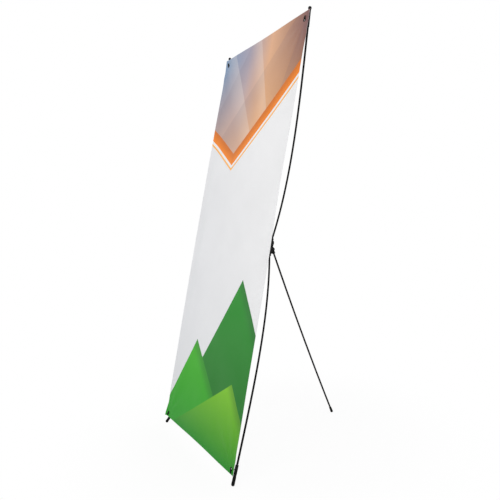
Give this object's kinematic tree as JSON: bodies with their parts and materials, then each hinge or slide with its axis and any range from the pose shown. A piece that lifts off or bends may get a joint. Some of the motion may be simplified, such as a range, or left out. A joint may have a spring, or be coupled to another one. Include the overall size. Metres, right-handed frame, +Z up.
{
  "type": "x banner stand",
  "caption": "Folding X-shaped banner stand: bowed poles swing in a central hub and stretch a printed banner by its corners, propped by a hinged rear leg.",
  "frame": {"origin": "on the ground, under the middle of the whole stand", "axes": "+Z up, +X to the right of someone who reads the banner, and the print faces -Y"},
  "size_m": [0.806, 0.8348, 2.0025],
  "materials": {
    "pole": "gloss",
    "moulding": "satin",
    "rubber": "matte",
    "steel": "black oxide",
    "blackened": "satin black",
    "print": "matte print"
  },
  "bodies": {
    "hub": {"banner_sheet": "print", "hub_front_shell": "moulding", "hub_rear_shell": "moulding", "upper_right_pivot_screw": "steel", "upper_right_pivot_nut": "steel", "upper_left_pivot_screw": "steel", "upper_left_pivot_nut": "steel", "lower_right_pivot_screw": "steel", "lower_right_pivot_nut": "steel", "lower_left_pivot_screw": "steel", "lower_left_pivot_nut": "steel", "hub_right_screw": "steel", "hub_right_nut": "steel", "hub_left_screw": "steel", "hub_left_nut": "steel", "leg_hinge_bolt": "steel", "leg_hinge_nut": "steel"},
    "upper_right_arm": {"upper_right_knuckle": "moulding", "upper_right_pole": "pole", "upper_right_hook_cap": "moulding", "upper_right_eyelet": "blackened", "upper_right_washer": "blackened"},
    "upper_left_arm": {"upper_left_knuckle": "moulding", "upper_left_pole": "pole", "upper_left_hook_cap": "moulding", "upper_left_eyelet": "blackened", "upper_left_washer": "blackened"},
    "lower_right_arm": {"lower_right_knuckle": "moulding", "lower_right_pole": "pole", "lower_right_hook_collar": "moulding", "lower_right_foot": "rubber", "lower_right_eyelet": "blackened", "lower_right_washer": "blackened"},
    "lower_left_arm": {"lower_left_knuckle": "moulding", "lower_left_pole": "pole", "lower_left_hook_collar": "moulding", "lower_left_foot": "rubber", "lower_left_eyelet": "blackened", "lower_left_washer": "blackened"},
    "rear_leg": {"rear_leg_knuckle": "moulding", "rear_leg_pole": "pole", "rear_leg_foot": "rubber"}
  },
  "joints": [
    {"name": "upper_right_swing", "type": "hinge", "parent": "hub", "child": "upper_right_arm", "pos_m": [0.016, 0.0472, 0.96736], "axis": [0, -0.9724, 0.2334], "range_deg": [0, 20.18], "deforming": ["banner_sheet"]},
    {"name": "upper_left_swing", "type": "hinge", "parent": "hub", "child": "upper_left_arm", "pos_m": [-0.016, 0.0472, 0.96736], "axis": [0, 0.9724, -0.2334], "range_deg": [0, 20.18], "deforming": ["banner_sheet"]},
    {"name": "lower_right_swing", "type": "hinge", "parent": "hub", "child": "lower_right_arm", "pos_m": [0.016, 0.03692, 0.92458], "axis": [0, 0.9724, -0.2334], "range_deg": [0, 20.84], "deforming": ["banner_sheet"]},
    {"name": "lower_left_swing", "type": "hinge", "parent": "hub", "child": "lower_left_arm", "pos_m": [-0.016, 0.03692, 0.92458], "axis": [0, -0.9724, 0.2334], "range_deg": [0, 20.84], "deforming": ["banner_sheet"]},
    {"name": "rear_leg_fold", "type": "hinge", "parent": "hub", "child": "rear_leg", "pos_m": [0, 0.06392, 0.9325], "axis": [-1, 0, 0], "range_deg": [0, 32.5]}
  ]
}
